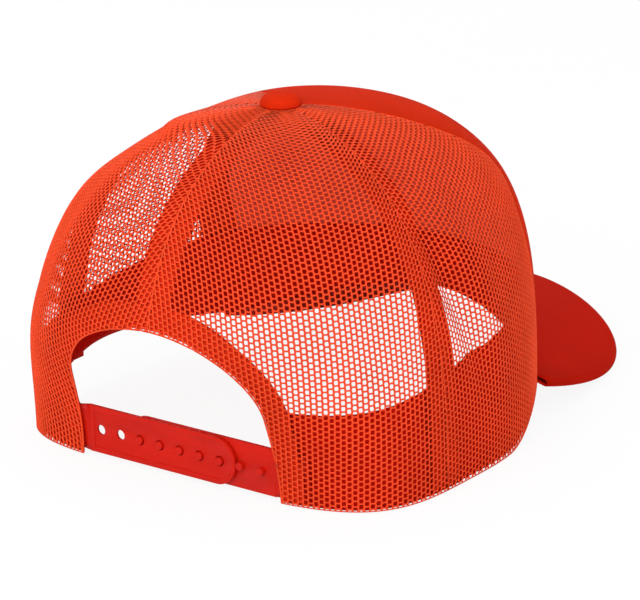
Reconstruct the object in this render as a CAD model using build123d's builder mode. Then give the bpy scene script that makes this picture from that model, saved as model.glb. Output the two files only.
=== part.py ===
"""Mesh-backed snapback cap: crown panels, bill, sweatband, seam tapes, button and snap strap.

Millimetres.  +Z is up, the bill points to -Y, the wearer's left is +X.  The origin lies on the
flat surface that the cap stands on, under the middle of the head opening.
"""

import os
from math import atan2, cos, pi, radians, sin

from build123d import *

# ---------------------------------------------------------------- crown, outer surface
CROWN_FRONT = 97.6          # crown axis to the front of the rim
CROWN_SIDE = 88.8           # crown axis to either side
CROWN_REAR = 84.7           # crown axis to the fullest part of the rear
REAR_TUCK = 19.3            # how far the strap pulls the rear in at the rim
TUCK_HEIGHT = 60.0          # height at which the pull of the strap has faded
CROWN_HEIGHT = 124.0
AXIS_SHIFT = -2.25          # the top leans this far forward of the rim's centre
PLAN_FRONT = 2.08           # superellipse exponents of the plan
PLAN_REAR = 2.77
PLAN_REAR_TUCKED = 4.22
DOME_FRONT = 5.93           # fullness of the profile, front, side and rear
DOME_SIDE = 3.16
DOME_REAR = 3.25
DOME_ROUND = 1.95           # roundness of the very top
TOP_FLAT = 0.15             # the last section lies this far under the top
SECTION_POINTS = 20
SECTION_STEPS = (0, 0.24, 0.44, 0.61, 0.75, 0.86, 0.935, 0.982)

# ---------------------------------------------------------------- crown, layers from outside in
MESH_THICK = 0.9
FABRIC_THICK = 0.8
TAPE_THICK = 0.7
TAB_THICK = 1.2             # the front panel's foam fills the same depth
SWEATBAND_THICK = 1.4

# ---------------------------------------------------------------- seams and tapes
FRONT_SEAM = 52.0           # degrees from straight ahead
SIDE_SEAM = 104.0
REAR_SEAM = 180.0
TAPE_WIDTH = 15.0
FOAM_TO_TAPE = 0.5
EYE_RADIUS = 2.0            # hole at the very top for the button's rivet

# ---------------------------------------------------------------- rear arch
ARCH_FOOT = 46.0            # half width at the rim
ARCH_SHOULDER = 44.4        # half width where the legs turn into the arch
ARCH_LEG = 32.0             # height of the legs
ARCH_HEIGHT = 60.5
HEM_WIDTH = 9.0

# ---------------------------------------------------------------- bill
BILL_REACH = 70.0           # length in front of the crown
BILL_HALF_WIDTH = 80.0
BILL_CORNER_Y = -60.0       # where the bill's rear corners meet the crown
BILL_FULLNESS = 2.4         # superellipse exponent of the outline
BILL_PEAK = 28.6            # height of the top face at the crown
BILL_PITCH = 0.236          # fall per millimetre of reach
BILL_ARCH_REAR = 29.0       # drop from the middle to the sides, at the corners
BILL_ARCH_FRONT = 20.0      # the same at the tip
BILL_ARCH_SHAPE = 1.7
BOARD_THICK = 2.0
COVER_THICK = 0.7
BOARD_INSET = 1.5           # the covers reach this far past the board
RIM_RISE_Y = -18.0          # the right rim leaves the ground here and rises to the bill
LEFT_BOW = ((52.0, 0.0), (30.0, 11.0), (10.0, 18.0), (-12.0, 18.5), (-40.0, 14.0))  # left rim, y and height

# ---------------------------------------------------------------- sweatband
BAND_TOP = ((45.0, 36.5), (0.0, 43.5), (-25.0, 46.5))   # its upper edge, y and height
BAND_TOP_REAR = 35.0
BAND_TOP_FRONT = 49.5
SWEATBAND_END = 48.0        # half width at which its two ends stop

# ---------------------------------------------------------------- snap strap
STRAP_WIDTH = 18.0
STRAP_THICK = 1.4
STRAP_FOOT = 1.6            # lower edge above the ground
STRAP_GAP = 0.3             # between the two closed straps
STRAP_Y = 62.7              # middle of either strap at its root
HOLE_ROOT_X = 42.6          # flex line of the strap with the holes
PEG_ROOT_X = -42.6          # flex line of the strap with the pegs
FLEX_GAP = 0.4
SNAP_PITCH = 9.36
SNAP_COUNT = 7
FIRST_HOLE_X = 37.6
FIRST_PEG_X = FIRST_HOLE_X - 2 * SNAP_PITCH
HOLE_RADIUS = 1.9
PEG_RADIUS = 1.55
PEG_PROUD = 0.6             # pegs stand this far out of the closed strap
TIP_PAST_HOLE = 7.4
TIP_PAST_PEG = 6.6
TRACK_BORDER = 2.0
TRACK_DEPTH = 0.35
TAB_REACH = 14.0            # sewn length of each strap tab

# ---------------------------------------------------------------- button
BUTTON_RADIUS = 7.7
BUTTON_HEIGHT = 4.6
BUTTON_WALL = 0.7
CORE_GAP = 0.05
RIVET_RADIUS = 1.5
RIVET_HEAD_RADIUS = 2.6
RIVET_HEAD_THICK = 0.5
WASHER_RADIUS = 5.0
WASHER_THICK = 0.6

# ---------------------------------------------------------------- derived
FAR = 2 * CROWN_HEIGHT                      # larger than anything that is cut
TAB_DEPTH = MESH_THICK + TAPE_THICK         # layer depths under the outer surface
BAND_DEPTH = TAB_DEPTH + TAB_THICK
BILL_THICK = BOARD_THICK + 2 * COVER_THICK
BILL_TIP_Y = -CROWN_FRONT - BILL_REACH
STRAP_STEP = STRAP_THICK + STRAP_GAP
STRAP_LEAN = atan2(STRAP_STEP, HOLE_ROOT_X - PEG_ROOT_X)
STRAP_MID_Z = STRAP_FOOT + STRAP_WIDTH / 2


def plan_radius(angle, rear, rear_power, side, front):
    """Distance from the crown axis to the plan outline; angle 0 is straight ahead."""
    ahead = cos(angle)
    reach, power = (front, PLAN_FRONT) if ahead > 0 else (rear, rear_power)
    return (abs(ahead / reach) ** power + abs(sin(angle) / side) ** power) ** (-1 / power)


def crown_point(angle, height, inset):
    """Point of the crown surface that lies inset under the outer one."""
    top = CROWN_HEIGHT - inset
    tuck = max(0.0, 1 - (height / TUCK_HEIGHT) ** 2) ** 1.5
    rear = CROWN_REAR - REAR_TUCK * tuck - inset
    rear_power = PLAN_REAR + (PLAN_REAR_TUCKED - PLAN_REAR) * tuck
    radius = plan_radius(angle, rear, rear_power, CROWN_SIDE - inset, CROWN_FRONT - inset)
    end = DOME_FRONT if cos(angle) > 0 else DOME_REAR
    power = DOME_SIDE + (end - DOME_SIDE) * cos(angle) ** 2
    radius *= (1 - min(1.0, height / top) ** power) ** (1 / DOME_ROUND)
    lean = AXIS_SHIFT * height / top
    return (radius * sin(angle), lean - radius * cos(angle), height)


def crown_solid(inset):
    """Filled crown whose surface lies inset under the outer one."""
    with BuildPart() as solid:
        top = CROWN_HEIGHT - inset
        for height in [*(step * top for step in SECTION_STEPS), top - TOP_FLAT]:
            with BuildSketch(Plane.XY.offset(height)):
                with BuildLine():
                    ring = [crown_point(2 * pi * i / SECTION_POINTS, height, inset)
                            for i in range(SECTION_POINTS)]
                    Spline(*[(x, y) for x, y, z in ring], periodic=True)
                make_face()
        loft()
    return solid.part


def sector(first, last):
    """Wedge of space about the crown axis between two bearings from straight ahead."""
    with BuildPart() as wedge:
        with BuildSketch(Plane.XY.offset(-FAR / 2)):
            with BuildLine():
                steps = [first + (last - first) * i / 2 for i in range(3)]
                reach = 2 * FAR
                rays = [(reach * sin(radians(a)), AXIS_SHIFT - reach * cos(radians(a))) for a in steps]
                Polyline((0, AXIS_SHIFT), *rays, close=True)
            make_face()
        extrude(amount=2 * FAR)
    return wedge.part


def seam_slab(bearing, width):
    """Slab of space along one seam, from the crown axis outwards."""
    along = Plane(origin=(0, AXIS_SHIFT, 0), x_dir=(sin(radians(bearing)), -cos(radians(bearing)), 0))
    with BuildPart() as slab:
        with BuildSketch(along.offset(-FAR / 2)):
            Rectangle(FAR, width, align=(Align.MIN, Align.CENTER))
        extrude(amount=2 * FAR)
    return slab.part


def arch_prism(grow):
    """The rear arch run out backwards, made larger by grow all round."""
    with BuildPart() as prism:
        with BuildSketch(Plane.XZ):
            with BuildLine():
                foot, shoulder, rise = ARCH_FOOT + grow, ARCH_SHOULDER + grow, ARCH_HEIGHT - ARCH_LEG + grow
                Polyline((-shoulder, ARCH_LEG), (-foot, 0), (-foot, -FAR / 4))
                Line((-foot, -FAR / 4), (foot, -FAR / 4))
                Polyline((foot, -FAR / 4), (foot, 0), (shoulder, ARCH_LEG))
                EllipticalCenterArc((0, ARCH_LEG), shoulder, rise, arc_size=180)
            make_face()
        extrude(amount=-FAR)
    return prism.part


def bill_top(x, y):
    """Height of the bill's top face."""
    share = (BILL_CORNER_Y - y) / (BILL_CORNER_Y - BILL_TIP_Y)
    drop = BILL_ARCH_REAR + (BILL_ARCH_FRONT - BILL_ARCH_REAR) * share
    fall = BILL_PITCH * (-CROWN_FRONT - y)
    return BILL_PEAK - fall - drop * abs(x / BILL_HALF_WIDTH) ** BILL_ARCH_SHAPE


def bill_layer(upper, lower, first_y=BILL_CORNER_Y + 10, last_y=BILL_TIP_Y - 10):
    """Arched slab between two depths under the bill's top face."""
    spread = 1.2 * BILL_HALF_WIDTH
    stations = [spread * i / 5 for i in range(-5, 6)]
    with BuildPart() as layer:
        for y in (first_y, last_y):
            with BuildSketch(Plane.XZ.offset(-y)):
                with BuildLine():
                    over = [(x, bill_top(x, y) - upper) for x in stations]
                    under = [(x, bill_top(x, y) - lower) for x in stations]
                    Spline(*over)
                    Line(over[-1], under[-1])
                    Spline(*reversed(under))
                    Line(under[0], over[0])
                make_face()
        loft(ruled=True)
    return layer.part


def bill_outline(inset):
    """Prism over the plan of the bill, drawn in by inset at its free edge."""
    half = BILL_HALF_WIDTH - inset
    reach = BILL_CORNER_Y - BILL_TIP_Y - inset
    share = 2 / BILL_FULLNESS
    turns = [pi * i / 24 for i in range(1, 24)]
    with BuildPart() as prism:
        with BuildSketch(Plane.XY.offset(-FAR / 4)):
            with BuildLine():
                edge = [(half, BILL_CORNER_Y)]
                for turn in turns:
                    side = abs(cos(turn)) ** share * (1 if cos(turn) > 0 else -1)
                    edge.append((half * side, BILL_CORNER_Y - reach * sin(turn) ** share))
                edge.append((-half, BILL_CORNER_Y))
                Spline(*edge)
                Line(edge[-1], edge[0])
            make_face()
        extrude(amount=FAR)
    return prism.part


def rim_rise():
    """Space under the rim behind the bill: the left rim is bowed up further than the right."""
    corner = (BILL_CORNER_Y, bill_top(BILL_HALF_WIDTH, BILL_CORNER_Y))
    with BuildPart() as prism:
        for points, reach, end in ((((RIM_RISE_Y, 0),), -FAR, (-1, BILL_PITCH)), (LEFT_BOW, FAR, (-1, -0.3))):
            with BuildSketch(Plane.YZ):
                with BuildLine():
                    Spline(*points, corner, tangents=((-1, 0), end))
                    Polyline(corner, (BILL_CORNER_Y, -FAR / 4), (points[0][0], -FAR / 4), points[0])
                make_face()
            extrude(amount=reach)
    return prism.part


def shell(outer, inner):
    """Layer of the crown between two filled crowns."""
    with BuildPart() as layer:
        add(outer)
        add(inner, mode=Mode.SUBTRACT)
    return layer.part


def trimmed(base, keep=(), remove=()):
    """Copy of base, kept inside the common space of the first solids and cleared of the others."""
    with BuildPart() as piece:
        if keep:
            add(keep[0])
            for tool in keep[1:]:
                add(tool, mode=Mode.INTERSECT)
            add(base, mode=Mode.INTERSECT)
        else:
            add(base)
        if remove:
            add(list(remove), mode=Mode.SUBTRACT)
    return piece.part


os.makedirs("parts", exist_ok=True)


def save(piece, name):
    """Label one finished piece and write it."""
    piece.label = name
    export_step(piece, f"parts/{name}.step")


# ================================================================ shared cutting volumes
surface = crown_solid(0)
under_mesh = crown_solid(MESH_THICK)
under_fabric = crown_solid(FABRIC_THICK)
under_tape = crown_solid(TAB_DEPTH)
under_tab = crown_solid(BAND_DEPTH)
under_band = crown_solid(BAND_DEPTH + SWEATBAND_THICK)

with BuildPart() as eye:
    with BuildSketch(Plane(origin=(0, AXIS_SHIFT, CROWN_HEIGHT / 2))):
        Circle(EYE_RADIUS)
    extrude(amount=CROWN_HEIGHT)

below_bill_top = bill_layer(0, FAR / 4, first_y=BILL_CORNER_Y)
below_bill = bill_layer(BILL_THICK, FAR / 4, first_y=BILL_CORNER_Y)
side_rise = rim_rise()
arch = arch_prism(0)
arch_with_hem = arch_prism(HEM_WIDTH)

# ================================================================ crown panels
mesh_layer = trimmed(shell(surface, under_mesh), remove=(eye.part, below_bill_top, side_rise, arch))
fabric_layer = trimmed(shell(surface, under_fabric), remove=(eye.part, below_bill_top, side_rise))

save(trimmed(fabric_layer, keep=(sector(-FRONT_SEAM, FRONT_SEAM),)), "front_panel")
for side, word in ((1, "left"), (-1, "right")):
    bounds = sorted((side * FRONT_SEAM, side * SIDE_SEAM))
    save(trimmed(mesh_layer, keep=(sector(*bounds),)), f"{word}_side_panel")
    bounds = sorted((side * SIDE_SEAM, side * REAR_SEAM))
    save(trimmed(mesh_layer, keep=(sector(*bounds),)), f"{word}_rear_panel")

# ================================================================ foam backing of the front panel
foam_layer = shell(under_fabric, under_tab)
foam_sides = [seam_slab(side * FRONT_SEAM, TAPE_WIDTH + 2 * FOAM_TO_TAPE) for side in (1, -1)]
with BuildPart() as washer_room:
    with BuildSketch(Plane(origin=(0, AXIS_SHIFT, CROWN_HEIGHT / 2))):
        Circle(TAPE_WIDTH)
    extrude(amount=CROWN_HEIGHT)
front_foam = trimmed(foam_layer, keep=(sector(-FRONT_SEAM, FRONT_SEAM),),
                     remove=(*foam_sides, washer_room.part, below_bill_top, side_rise))
save(front_foam, "front_foam")

# ================================================================ seam tapes
tape_layer = trimmed(shell(under_mesh, under_tape), remove=(eye.part, below_bill_top, side_rise))
half_front = (FRONT_SEAM + SIDE_SEAM) / 2
half_rear = (SIDE_SEAM + REAR_SEAM) / 2
tapes = {
    "front_left_tape": (FRONT_SEAM, 0, half_front),
    "front_right_tape": (-FRONT_SEAM, -half_front, 0),
    "side_left_tape": (SIDE_SEAM, half_front, half_rear),
    "side_right_tape": (-SIDE_SEAM, -half_rear, -half_front),
    "centre_back_tape": (REAR_SEAM, half_rear, 360 - half_rear),
}
for name, (bearing, first, last) in tapes.items():
    save(trimmed(tape_layer, keep=(seam_slab(bearing, TAPE_WIDTH), sector(first, last)),
                 remove=(arch_with_hem,)), name)

arch_tape = trimmed(tape_layer, keep=(arch_with_hem,), remove=(arch,))
save(arch_tape, "arch_tape")

# ================================================================ sweatband
with BuildPart() as band_room:
    with BuildSketch(Plane.YZ):
        with BuildLine():
            Spline((CROWN_FRONT, BAND_TOP_REAR), *BAND_TOP, (-CROWN_FRONT, BAND_TOP_FRONT))
            Polyline((-CROWN_FRONT, BAND_TOP_FRONT), (-CROWN_FRONT, 0), (CROWN_FRONT, 0),
                     (CROWN_FRONT, BAND_TOP_REAR))
        make_face()
    extrude(amount=FAR, both=True)
with BuildPart() as band_gap:
    with BuildSketch(Plane.XZ):
        Rectangle(2 * SWEATBAND_END, 2 * FAR)
    extrude(amount=-FAR)
sweatband = trimmed(shell(under_tab, under_band), keep=(band_room.part,),
                    remove=(below_bill, side_rise, band_gap.part))
save(sweatband, "sweatband")

# ================================================================ bill
outline = bill_outline(0)
inner_outline = bill_outline(BOARD_INSET)
bill_board = trimmed(bill_layer(COVER_THICK, COVER_THICK + BOARD_THICK), keep=(inner_outline,),
                     remove=(under_tab,))
save(bill_board, "bill_board")
bill_top_cover = trimmed(bill_layer(0, BILL_THICK / 2), keep=(outline,), remove=(under_tab, bill_board))
save(bill_top_cover, "bill_top_cover")
bill_under_cover = trimmed(bill_layer(BILL_THICK / 2, BILL_THICK), keep=(outline,),
                           remove=(under_tab, bill_board))
save(bill_under_cover, "bill_under_cover")

# ================================================================ snap strap
# Both straps lie in one leaning pair of planes, so that their roots meet the crown at one depth.
# Each plane has its origin on the flex line, x along the strap and z out of the cap's back.
lean_out = (sin(STRAP_LEAN), cos(STRAP_LEAN), 0)
hole_plane = Plane(origin=(HOLE_ROOT_X, STRAP_Y, STRAP_MID_Z),
                   x_dir=(-cos(STRAP_LEAN), sin(STRAP_LEAN), 0), z_dir=lean_out)
peg_plane = Plane(origin=(PEG_ROOT_X, STRAP_Y, STRAP_MID_Z),
                  x_dir=(cos(STRAP_LEAN), -sin(STRAP_LEAN), 0), z_dir=lean_out)
holes_along = [(HOLE_ROOT_X - FIRST_HOLE_X + i * SNAP_PITCH, 0) for i in range(SNAP_COUNT)]
pegs_along = [(FIRST_PEG_X - i * SNAP_PITCH - PEG_ROOT_X, 0) for i in range(SNAP_COUNT)]
hole_strap_reach = holes_along[-1][0] + TIP_PAST_HOLE
peg_strap_reach = pegs_along[0][0] + TIP_PAST_PEG


def strip(reach, inset):
    """Flat outline of a strap: square at the flex line, half round at the tip."""
    half = STRAP_WIDTH / 2 - inset
    bend = reach - STRAP_WIDTH / 2
    with BuildLine() as edge:
        Polyline((bend, half), (0, half), (0, -half), (bend, -half))
        CenterArc((bend, 0), half, -90, 180)
    return edge


def flex_round(plane):
    """Bar along the flex line that gives the strap's root a round end."""
    with BuildPart() as bar:
        with BuildSketch(Plane(origin=plane.origin - Vector(0, 0, STRAP_WIDTH / 2))):
            Circle(STRAP_THICK / 2)
        extrude(amount=STRAP_WIDTH)
    return bar.part


with BuildPart() as hole_strap:
    with BuildSketch(hole_plane.offset(-STRAP_THICK / 2)):
        add(strip(hole_strap_reach, 0))
        make_face()
    extrude(amount=STRAP_THICK)
    with BuildSketch(hole_plane.offset(STRAP_THICK / 2 - TRACK_DEPTH)):
        with Locations((TRACK_BORDER, 0)):
            add(strip(hole_strap_reach - TRACK_BORDER, TRACK_BORDER))
            make_face()
    extrude(amount=STRAP_THICK, mode=Mode.SUBTRACT)
    with Locations(hole_plane):
        with Locations(*holes_along):
            Hole(HOLE_RADIUS, depth=STRAP_THICK)
    add(flex_round(hole_plane))
save(hole_strap.part, "hole_strap")

with BuildPart() as peg_strap:
    with BuildSketch(peg_plane.offset(-STRAP_THICK / 2)):
        add(strip(peg_strap_reach, 0))
        make_face()
    extrude(amount=STRAP_THICK)
    add(flex_round(peg_plane))
    with BuildSketch(peg_plane.offset(STRAP_THICK / 2)):
        with Locations(*pegs_along):
            Circle(PEG_RADIUS)
    extrude(amount=STRAP_GAP + STRAP_THICK + PEG_PROUD)
    tops = peg_strap.faces().filter_by(peg_plane).group_by(SortBy.AREA)[0]
    fillet(tops.edges(), PEG_PROUD)
save(peg_strap.part, "peg_strap")

for side, root, name in ((1, HOLE_ROOT_X, "hole_strap_tab"), (-1, PEG_ROOT_X, "peg_strap_tab")):
    first = root + side * (STRAP_THICK / 2 + FLEX_GAP)
    with BuildPart() as tab_room:
        with BuildSketch(Plane.XZ):
            with Locations((first + side * TAB_REACH / 2, STRAP_MID_Z)):
                Rectangle(TAB_REACH, STRAP_WIDTH)
        extrude(amount=-FAR)
    save(trimmed(under_tape, keep=(tab_room.part,), remove=(under_tab,)), name)

# ================================================================ button
crown_axis = Axis((0, AXIS_SHIFT, 0), (0, 0, 1))
button_plane = Plane(origin=(0, AXIS_SHIFT, CROWN_HEIGHT), x_dir=(1, 0, 0), z_dir=(0, -1, 0))


def half_dome(radius, height):
    """Half section of a flat-based dome beside the crown axis."""
    with BuildLine() as edge:
        Spline((radius, 0), (radius * sin(pi / 4), height * sin(pi / 4)), (0, height),
               tangents=((0, 1), (-1, 0)))
        Polyline((0, height), (0, 0), (radius, 0))
    return edge


with BuildPart() as button_cover:
    with BuildSketch(button_plane):
        add(half_dome(BUTTON_RADIUS, BUTTON_HEIGHT))
        make_face()
        add(half_dome(BUTTON_RADIUS - BUTTON_WALL, BUTTON_HEIGHT - BUTTON_WALL))
        make_face(mode=Mode.SUBTRACT)
    revolve(axis=crown_axis)
save(button_cover.part, "button_cover")

with BuildPart() as button_core:
    with BuildSketch(button_plane):
        add(half_dome(BUTTON_RADIUS - BUTTON_WALL - CORE_GAP, BUTTON_HEIGHT - BUTTON_WALL - CORE_GAP))
        make_face()
    revolve(axis=crown_axis)
save(button_core.part, "button_core")

washer_top = CROWN_HEIGHT - TAB_DEPTH - TOP_FLAT - CORE_GAP
with BuildPart() as button_washer:
    with BuildSketch(Plane(origin=(0, AXIS_SHIFT, washer_top - WASHER_THICK))):
        Circle(WASHER_RADIUS)
        Circle(RIVET_RADIUS + CORE_GAP, mode=Mode.SUBTRACT)
    extrude(amount=WASHER_THICK)
save(button_washer.part, "button_washer")

with BuildPart() as button_rivet:
    with BuildSketch(Plane(origin=(0, AXIS_SHIFT, washer_top - WASHER_THICK))):
        Circle(RIVET_RADIUS)
    extrude(amount=CROWN_HEIGHT - washer_top + WASHER_THICK)
    with BuildSketch(Plane(origin=(0, AXIS_SHIFT, washer_top - WASHER_THICK))):
        Circle(RIVET_HEAD_RADIUS)
    extrude(amount=-RIVET_HEAD_THICK)
save(button_rivet.part, "button_rivet")
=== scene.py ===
"""Mesh-backed cap with a snap strap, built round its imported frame.

Sizes are in millimetres unless a name says otherwise. +Z is up, the bill points to -Y and the
wearer's left is +X. A bearing is an angle about the crown's axis: 0 is straight ahead, and it
grows towards the wearer's left.
"""

import logging
from collections.abc import Callable, Sequence
from dataclasses import dataclass, field
from enum import Enum
from math import atan2, ceil, cos, hypot, pi, radians, sin

import bmesh
import bpy
import numpy as np
from mathutils import Matrix, Vector


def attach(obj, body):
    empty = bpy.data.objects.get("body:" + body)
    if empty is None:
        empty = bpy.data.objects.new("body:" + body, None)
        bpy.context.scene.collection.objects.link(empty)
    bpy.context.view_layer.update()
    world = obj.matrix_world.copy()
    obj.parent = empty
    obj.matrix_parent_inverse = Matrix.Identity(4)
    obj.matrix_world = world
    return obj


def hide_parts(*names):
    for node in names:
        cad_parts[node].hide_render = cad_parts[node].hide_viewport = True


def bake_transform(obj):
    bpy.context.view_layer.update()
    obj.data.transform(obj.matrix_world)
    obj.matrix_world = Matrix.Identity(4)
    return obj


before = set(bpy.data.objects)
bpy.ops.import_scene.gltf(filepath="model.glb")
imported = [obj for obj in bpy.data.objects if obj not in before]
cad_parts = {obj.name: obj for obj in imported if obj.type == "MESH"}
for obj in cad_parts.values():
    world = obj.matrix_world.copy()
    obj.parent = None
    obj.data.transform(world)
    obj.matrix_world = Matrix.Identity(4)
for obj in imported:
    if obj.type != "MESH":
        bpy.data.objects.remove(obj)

LOG = logging.getLogger("cap")
MM = 0.001
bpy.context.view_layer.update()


# ---------------------------------------------------------------- shape of the cap
@dataclass(frozen=True)
class Dent:
    """Soft groove in the crown that runs up it, or a swelling where the depth is negative."""

    bearing: float
    height: float
    spread: float
    rise: float
    depth: float
    drift: float = 0.0

    def depth_at(self, bearing: np.ndarray, height: np.ndarray) -> np.ndarray:
        """Depth at each point, from its bearing in radians and its height."""
        middle = np.radians(self.bearing + self.drift * (height - self.height))
        off = (bearing - middle + pi) % (2 * pi) - pi
        across = off / radians(self.spread)
        along = (height - self.height) / self.rise
        return self.depth * np.exp(-across * across - along * along)


def eased(at: np.ndarray, points: Sequence[tuple[float, float]]) -> np.ndarray:
    """Value at each place of a smooth line through points that are given in order."""
    places, values = np.array(points).T
    slopes = np.gradient(values, places)
    i = np.clip(np.searchsorted(places, at) - 1, 0, len(places) - 2)
    span = places[i + 1] - places[i]
    s = np.clip((at - places[i]) / span, 0, 1)
    start = values[i] * (1 - 3 * s**2 + 2 * s**3) + slopes[i] * span * (s - 2 * s**2 + s**3)
    return start + values[i + 1] * (3 * s**2 - 2 * s**3) + slopes[i + 1] * span * (s**3 - s**2)


@dataclass(frozen=True)
class CrownShape:
    """Outer surface of the crown, and the lines that bound its panels."""

    front: float = 97.6
    side: float = 88.8
    rear: float = 84.7
    rear_tuck: float = 19.3
    tuck_height: float = 60.0
    top: float = 124.0
    shift: float = -2.25
    plan_front: float = 2.08
    plan_rear: float = 2.77
    plan_rear_tucked: float = 4.22
    dome_front: float = 5.93
    dome_side: float = 3.16
    dome_rear: float = 3.25
    dome_round: float = 1.95
    arch_foot: float = 46.0
    arch_shoulder: float = 44.4
    arch_leg: float = 32.0
    arch_height: float = 60.5
    bill_reach: float = 61.0
    bill_half: float = 76.5
    bill_corner: float = -60.0
    bill_peak: float = 30.4
    bill_pitch: float = 0.25
    bill_arch_rear: float = 25.5
    bill_arch_front: float = 29.0
    bill_arch_shape: float = 1.7
    rim_rise: float = -18.0
    left_bow: tuple[tuple[float, float], ...] = (
        (-60.0, 14.3), (-40.0, 16.0), (-12.0, 18.5), (10.0, 18.0), (30.0, 11.0), (52.0, 0.0), (70.0, 0.0))
    band_top: tuple[tuple[float, float], ...] = (
        (-97.6, 49.5), (-25.0, 46.5), (0.0, 43.5), (45.0, 36.5), (97.6, 35.0))
    front_seam: float = 52.0
    right_seam_pull: tuple[float, float, float] = (8.0, 98.0, 15.0)
    left_seam_pull: tuple[float, float, float] = (-5.0, 72.0, 24.0)
    dents: tuple[Dent, ...] = ()

    def radius(self, bearing: np.ndarray, height: np.ndarray, inset: float) -> np.ndarray:
        """Distance from the crown's axis to the layer that lies inset under the surface.

        Args:
            bearing: Bearings in radians.
            height: Heights above the ground.
            inset: Depth of the layer under the outer surface.

        Returns:
            One distance for each point.
        """
        ahead = np.cos(bearing)
        tuck = np.maximum(0.0, 1 - (height / self.tuck_height) ** 2) ** 1.5
        rear_power = self.plan_rear + (self.plan_rear_tucked - self.plan_rear) * tuck
        reach = np.where(ahead > 0, self.front, self.rear - self.rear_tuck * tuck) - inset
        power = np.where(ahead > 0, self.plan_front, rear_power)
        across = np.abs(np.sin(bearing) / (self.side - inset)) ** power
        plan = (np.abs(ahead / reach) ** power + across) ** (-1 / power)
        end = np.where(ahead > 0, self.dome_front, self.dome_rear)
        fullness = self.dome_side + (end - self.dome_side) * ahead**2
        share = np.minimum(1.0, height / (self.top - inset))
        full = plan * np.maximum(0.0, 1 - share**fullness) ** (1 / self.dome_round)
        hollow = sum((dent.depth_at(bearing, height) for dent in self.dents), np.zeros_like(full))
        return full - hollow * np.minimum(1.0, full / 40)

    def point(self, bearing: np.ndarray, height: np.ndarray, inset: float | np.ndarray) -> np.ndarray:
        """Points of one layer of the crown, one row of x, y and z for each bearing and height."""
        out = self.radius(bearing, height, inset)
        lean = self.shift * height / (self.top - inset)
        return np.stack([out * np.sin(bearing), lean - out * np.cos(bearing), height], axis=-1)

    def bill_top(self, x: np.ndarray, y: np.ndarray) -> np.ndarray:
        """Height of the bill's top face over a place in plan."""
        tip = -self.front - self.bill_reach
        share = (self.bill_corner - y) / (self.bill_corner - tip)
        drop = self.bill_arch_rear + (self.bill_arch_front - self.bill_arch_rear) * share
        fall = self.bill_pitch * (-self.front - y)
        return self.bill_peak - fall - drop * np.abs(x / self.bill_half) ** self.bill_arch_shape

    def lower_edge(self, x: np.ndarray, y: np.ndarray, bill_depth: float = 0.0) -> np.ndarray:
        """Height of the panels' lower edge: the ground, the rise to the bill, or the bill itself."""
        corner = float(self.bill_top(np.array(self.bill_half), np.array(self.bill_corner)))
        run = self.rim_rise - self.bill_corner
        s = np.clip((self.rim_rise - y) / run, 0, 1)
        rise = corner * (3 * s**2 - 2 * s**3) + self.bill_pitch * run * (s**3 - s**2)
        rise = np.where(x > 0, eased(y, self.left_bow), rise)
        return np.where(y < self.bill_corner, self.bill_top(x, y) - bill_depth, np.maximum(rise, 0))

    def seam(self, bearing: float, height: np.ndarray) -> np.ndarray:
        """Bearings along a seam. The front seams are drawn off their straight line.

        Args:
            bearing: Bearing of the straight seam, in degrees.
            height: Heights above the ground.

        Returns:
            One bearing in radians for each height.
        """
        if abs(bearing) != self.front_seam:
            return np.full_like(height, radians(bearing))
        pull, middle, spread = self.left_seam_pull if bearing > 0 else self.right_seam_pull
        drawn = pull * np.exp(-(((height - middle) / spread) ** 2))
        return np.radians(np.sign(bearing) * (abs(bearing) - drawn))

    def rim(self, bearing: np.ndarray, inset: float = 0.0, bill_depth: float = 0.0) -> np.ndarray:
        """Height at which a layer of the crown meets its lower edge, for each bearing."""
        height = np.zeros_like(bearing)
        for _ in range(8):
            spot = self.point(bearing, height, inset)
            height = self.lower_edge(spot[..., 0], spot[..., 1], bill_depth)
        return height

    def arch_half(self, height: np.ndarray, grow: float = 0.0) -> np.ndarray:
        """Half width of the rear arch at a height, with the arch made larger by grow all round."""
        shoulder = self.arch_shoulder + grow
        leg = shoulder + (self.arch_foot - self.arch_shoulder) * (1 - height / self.arch_leg)
        share = (height - self.arch_leg) / (self.arch_height + grow - self.arch_leg)
        dome = shoulder * np.sqrt(np.maximum(0.0, 1 - np.minimum(1.0, np.abs(share)) ** 2))
        return np.where(height < self.arch_leg, leg, dome)

    def arch_top(self, x: np.ndarray, grow: float = 0.0) -> np.ndarray:
        """Height of the rear arch over a place across it."""
        share = np.minimum(1.0, np.abs(x) / (self.arch_shoulder + grow))
        return self.arch_leg + (self.arch_height + grow - self.arch_leg) * np.sqrt(1 - share**2)

    def bearing_at(self, x: float, height: float, inset: float) -> float:
        """Bearing, in radians, at which the rear of a layer is x across at a height."""
        turns = np.linspace(pi / 2, pi, 721)
        spots = self.point(turns, np.full_like(turns, height), inset)
        return float(np.interp(-abs(x), -spots[:, 0], turns)) * (1 if x >= 0 else -1)


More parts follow.
